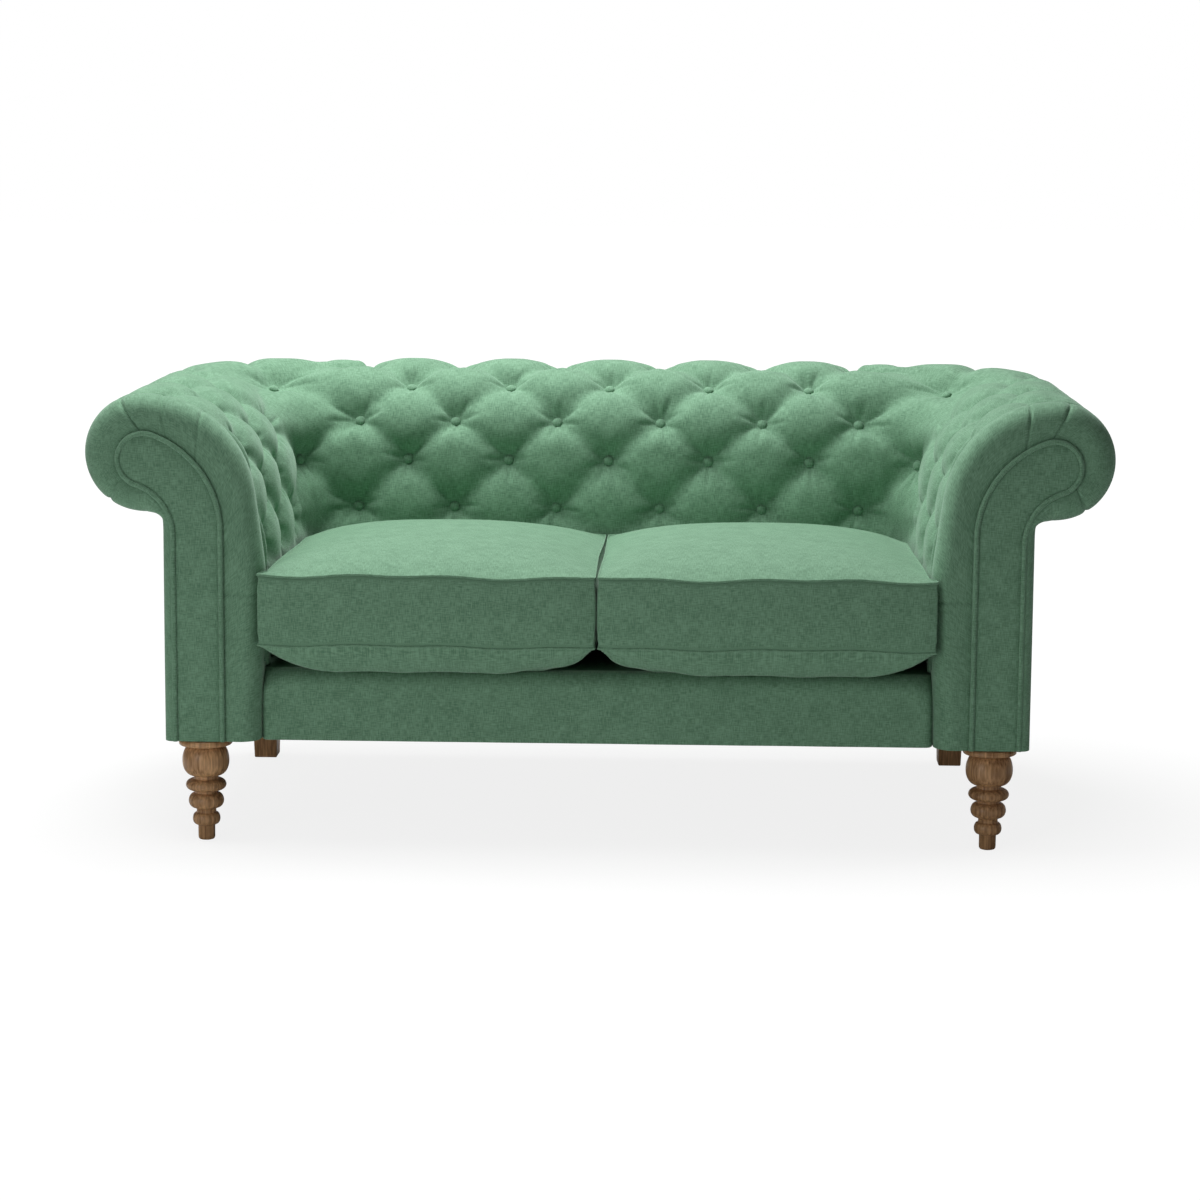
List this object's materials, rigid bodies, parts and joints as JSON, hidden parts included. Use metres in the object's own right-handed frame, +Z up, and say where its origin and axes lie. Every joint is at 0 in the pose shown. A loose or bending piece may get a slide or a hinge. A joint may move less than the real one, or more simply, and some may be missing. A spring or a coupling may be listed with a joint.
{
  "type": "two-seater sofa",
  "caption": "Green fabric two-seater sofa with deep-buttoned back and scroll arms level with it, loose seat cushions and turned wooden front legs.",
  "frame": {"origin": "centre of the footprint on the floor", "axes": "+X to the sitter's left hand seen from the front (right in the picture), +Y towards the back, +Z up"},
  "size_m": [1.75, 0.98, 0.7753],
  "materials": {
    "green_fabric": "matt plain-weave cloth",
    "button_fabric": "same cloth stretched over buttons",
    "leg_wood": "satin lacquered",
    "frame_wood": "raw sawn",
    "spring_steel": "bare wire",
    "bolt_steel": "zinc plated",
    "bottom_cloth": "thin black non-woven",
    "deck_cloth": "plain lining",
    "webbing": "woven strap",
    "foam": "open foam"
  },
  "bodies": {
    "sofa": {"back_buttons": "button_fabric", "back_pad": "green_fabric", "back_rail": "frame_wood", "back_tacking_rail": "frame_wood", "back_top_rail": "frame_wood", "back_uprights": "frame_wood", "back_webbing": "webbing", "bottom_cloth": "bottom_cloth", "centre_rail": "frame_wood", "corner_blocks": "frame_wood", "front_border": "green_fabric", "front_rail": "frame_wood", "left_arm_border": "green_fabric", "left_arm_buttons": "button_fabric", "left_arm_facing": "green_fabric", "left_arm_pad": "green_fabric", "left_arm_tacking_rail": "frame_wood", "left_arm_top_rail": "frame_wood", "left_arm_webbing": "webbing", "left_back_leg": "leg_wood", "left_corner_post": "frame_wood", "left_facing_piping": "green_fabric", "left_front_leg": "leg_wood", "left_front_post": "frame_wood", "left_outer_arm_panel": "green_fabric", "left_roll_corner": "frame_wood", "left_side_rail": "frame_wood", "leg_bolts": "bolt_steel", "outer_back_panel": "green_fabric", "right_arm_border": "green_fabric", "right_arm_buttons": "button_fabric", "right_arm_facing": "green_fabric", "right_arm_pad": "green_fabric", "right_arm_tacking_rail": "frame_wood", "right_arm_top_rail": "frame_wood", "right_arm_webbing": "webbing", "right_back_leg": "leg_wood", "right_corner_post": "frame_wood", "right_facing_piping": "green_fabric", "right_front_leg": "leg_wood", "right_front_post": "frame_wood", "right_outer_arm_panel": "green_fabric", "right_roll_corner": "frame_wood", "right_side_rail": "frame_wood", "seat_deck": "deck_cloth", "seat_springs": "spring_steel", "spring_clips": "spring_steel", "spring_cover": "deck_cloth", "tee_nuts": "bolt_steel"},
    "left_cushion": {"left_cushion_cover": "green_fabric", "left_cushion_core": "foam"},
    "right_cushion": {"right_cushion_cover": "green_fabric", "right_cushion_core": "foam"}
  },
  "joints": [
    {"name": "left_cushion_lift", "type": "slide", "parent": "sofa", "child": "left_cushion", "axis": [0, 0, 1], "range_m": [0, 0.5]},
    {"name": "right_cushion_lift", "type": "slide", "parent": "sofa", "child": "right_cushion", "axis": [0, 0, 1], "range_m": [0, 0.5]}
  ]
}
